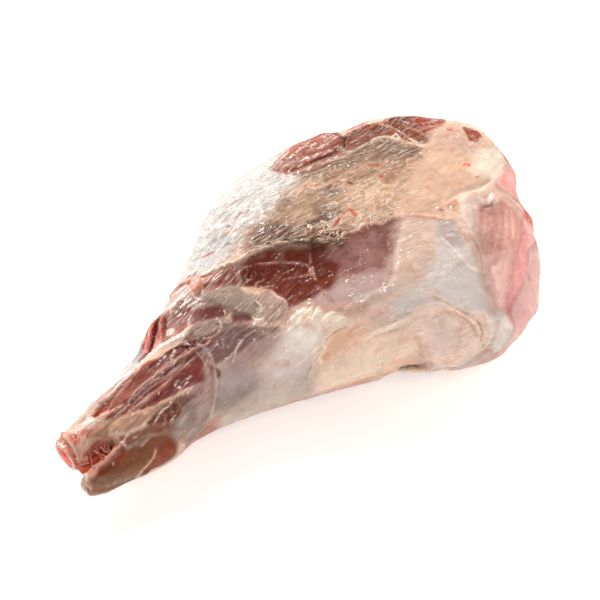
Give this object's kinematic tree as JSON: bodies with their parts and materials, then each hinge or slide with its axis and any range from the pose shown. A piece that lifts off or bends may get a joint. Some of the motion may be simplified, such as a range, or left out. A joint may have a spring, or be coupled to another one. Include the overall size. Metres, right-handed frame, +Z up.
{
  "type": "raw leg of lamb",
  "caption": "Raw leg of lamb on the bone: flat tapering thigh, bare lean and silverskin, fat-covered rump, sawn shank with red marrow and a cut heel lobe.",
  "frame": {"origin": "under the middle of the leg, on the surface that it rests on", "axes": "+X along the leg from the sawn shank to the rump, +Y across it, +Z up with the outer side of the leg on top"},
  "size_m": [0.3578, 0.2074, 0.0873],
  "materials": {
    "meat": "moist raw lamb: pink and red lean under silverskin and cream fat",
    "bone": "sawn raw bone, pale and moist",
    "marrow": "wet red spongy marrow",
    "tendon": "smooth pale tendon"
  },
  "bodies": {
    "root": {"leg_meat": "meat", "shank_bone": "bone", "bone_marrow": "marrow", "heel_tendon": "tendon"}
  },
  "joints": []
}
